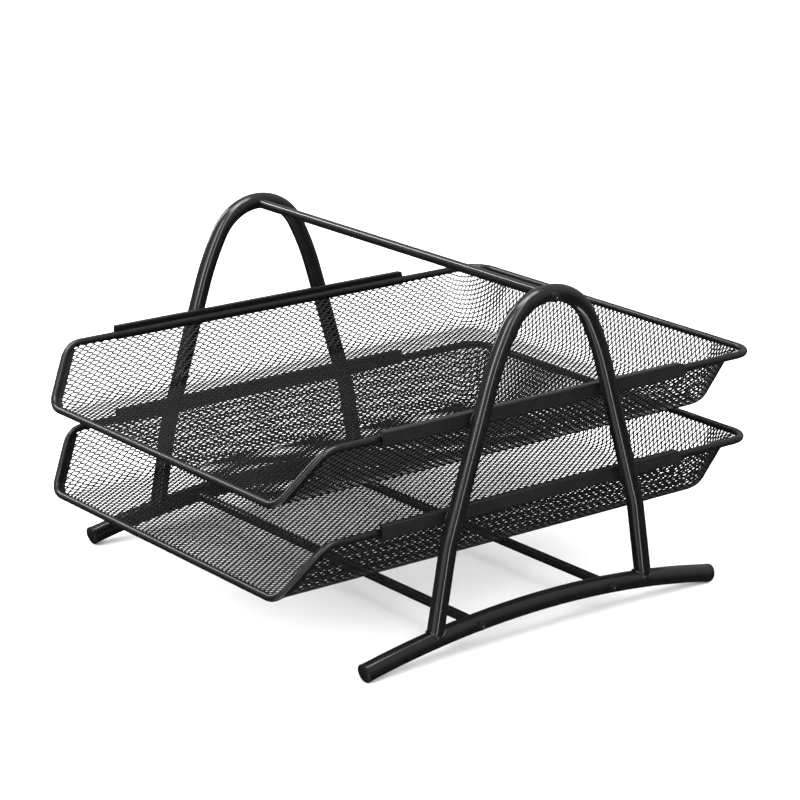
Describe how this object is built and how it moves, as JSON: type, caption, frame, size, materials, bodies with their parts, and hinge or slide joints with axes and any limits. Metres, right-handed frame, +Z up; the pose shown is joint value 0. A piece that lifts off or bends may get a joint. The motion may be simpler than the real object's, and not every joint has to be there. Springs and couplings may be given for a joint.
{
  "type": "letter tray",
  "caption": "Two-tier desktop letter tray: mesh pans with wire rims slide in channel rails between arched tube side frames on curved feet, joined by cross rods.",
  "frame": {"origin": "on the desk, centre of the object's bounding box in X and Y, at the height the feet stand on", "axes": "+X to the user's right, +Y from the open low front of the trays towards their rear wall, +Z up"},
  "size_m": [0.2978, 0.3524, 0.2094],
  "materials": {
    "tube_enamel": "satin black powder coat on steel tube and rod",
    "rail_enamel": "satin black powder coat on folded steel sheet",
    "wire_enamel": "satin black powder coat on steel wire",
    "mesh_enamel": "satin black powder coat on expanded steel mesh",
    "cap_plastic": "matte moulded plastic with a soft sheen",
    "screw_steel": "blackened steel"
  },
  "bodies": {
    "frame": {"left_arch": "tube_enamel", "right_arch": "tube_enamel", "left_foot": "tube_enamel", "right_foot": "tube_enamel", "left_front_foot_cap": "cap_plastic", "left_rear_foot_cap": "cap_plastic", "right_front_foot_cap": "cap_plastic", "right_rear_foot_cap": "cap_plastic", "top_cross_rod": "tube_enamel", "front_cross_rod": "tube_enamel", "rear_cross_rod": "tube_enamel", "top_rod_screws": "screw_steel", "front_rod_screws": "screw_steel", "rear_rod_screws": "screw_steel", "upper_left_rail": "rail_enamel", "upper_right_rail": "rail_enamel", "lower_left_rail": "rail_enamel", "lower_right_rail": "rail_enamel"},
    "upper_tray": {"upper_tray_rim": "wire_enamel", "upper_tray_mesh": "mesh_enamel"},
    "lower_tray": {"lower_tray_rim": "wire_enamel", "lower_tray_mesh": "mesh_enamel"}
  },
  "joints": [
    {"name": "upper_tray_slide", "type": "slide", "parent": "frame", "child": "upper_tray", "axis": [0, -1, 0], "range_m": [-0.02, 0.12]},
    {"name": "lower_tray_slide", "type": "slide", "parent": "frame", "child": "lower_tray", "axis": [0, -1, 0], "range_m": [-0.02, 0.12]}
  ]
}
